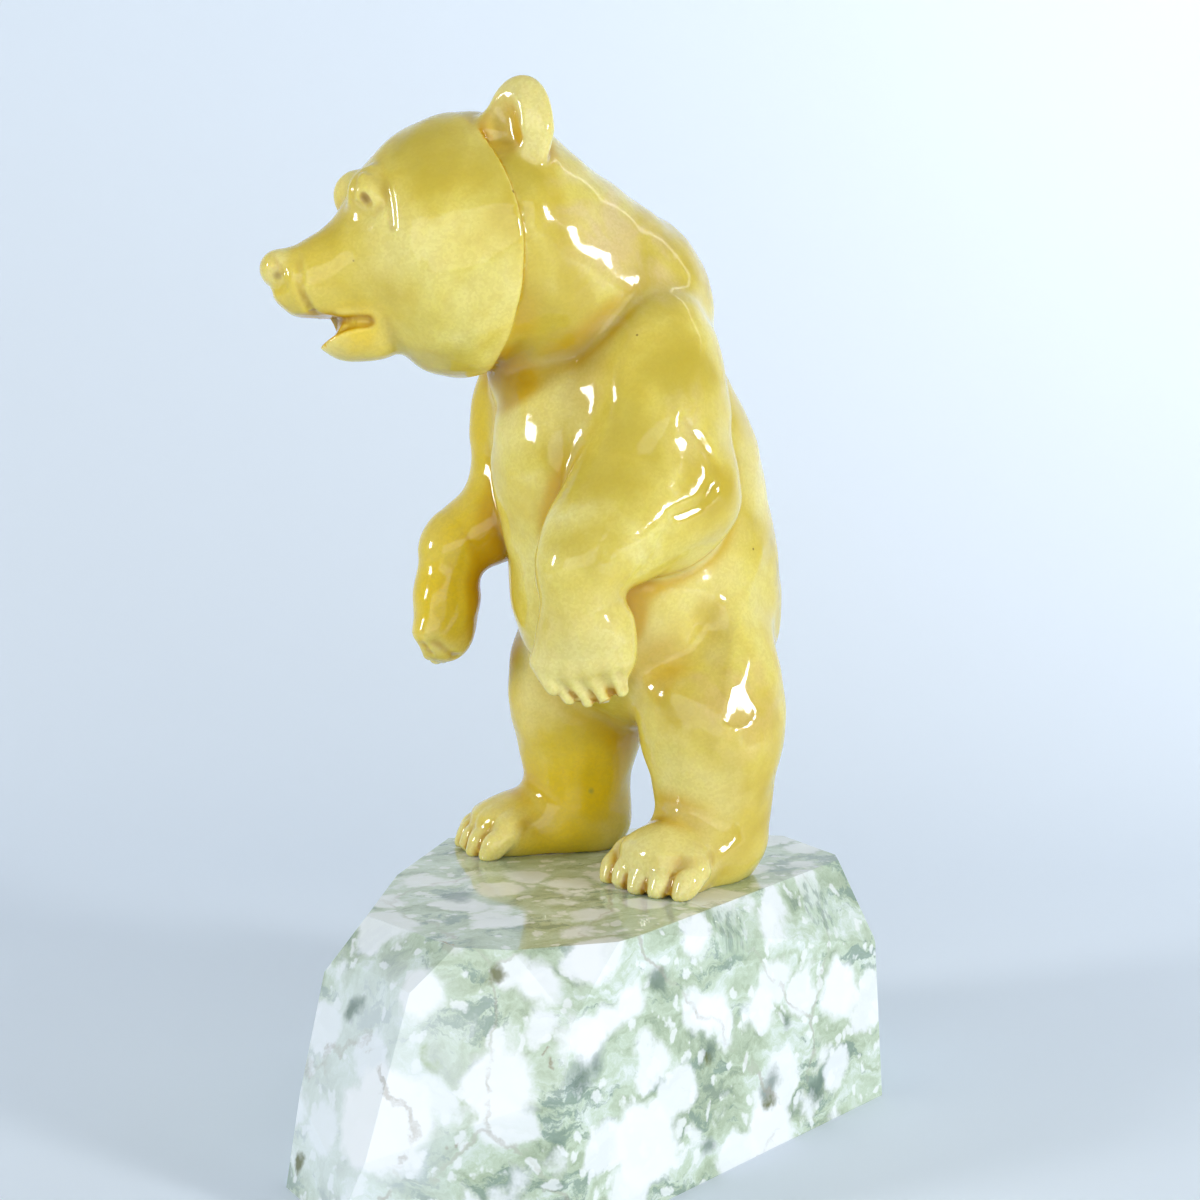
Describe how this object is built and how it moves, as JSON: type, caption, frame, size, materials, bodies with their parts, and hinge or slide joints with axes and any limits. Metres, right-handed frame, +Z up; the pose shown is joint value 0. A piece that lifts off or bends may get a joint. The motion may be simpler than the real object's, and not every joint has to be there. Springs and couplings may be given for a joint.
{
  "type": "bear sculpture",
  "caption": "Standing bear with open mouth and hanging forepaws, carved from yellow onyx marble, on a faceted block of green and white marble.",
  "frame": {"origin": "middle of the sculpture's bounding box at the underside of the base", "axes": "+Z up; the bear's body faces -Y with its head turned a little to its right, its left side is +X"},
  "size_m": [0.137, 0.1622, 0.2555],
  "materials": {
    "yellow_onyx": "polished",
    "green_marble": "polished"
  },
  "bodies": {
    "root": {"bear": "yellow_onyx", "base": "green_marble"}
  },
  "joints": []
}
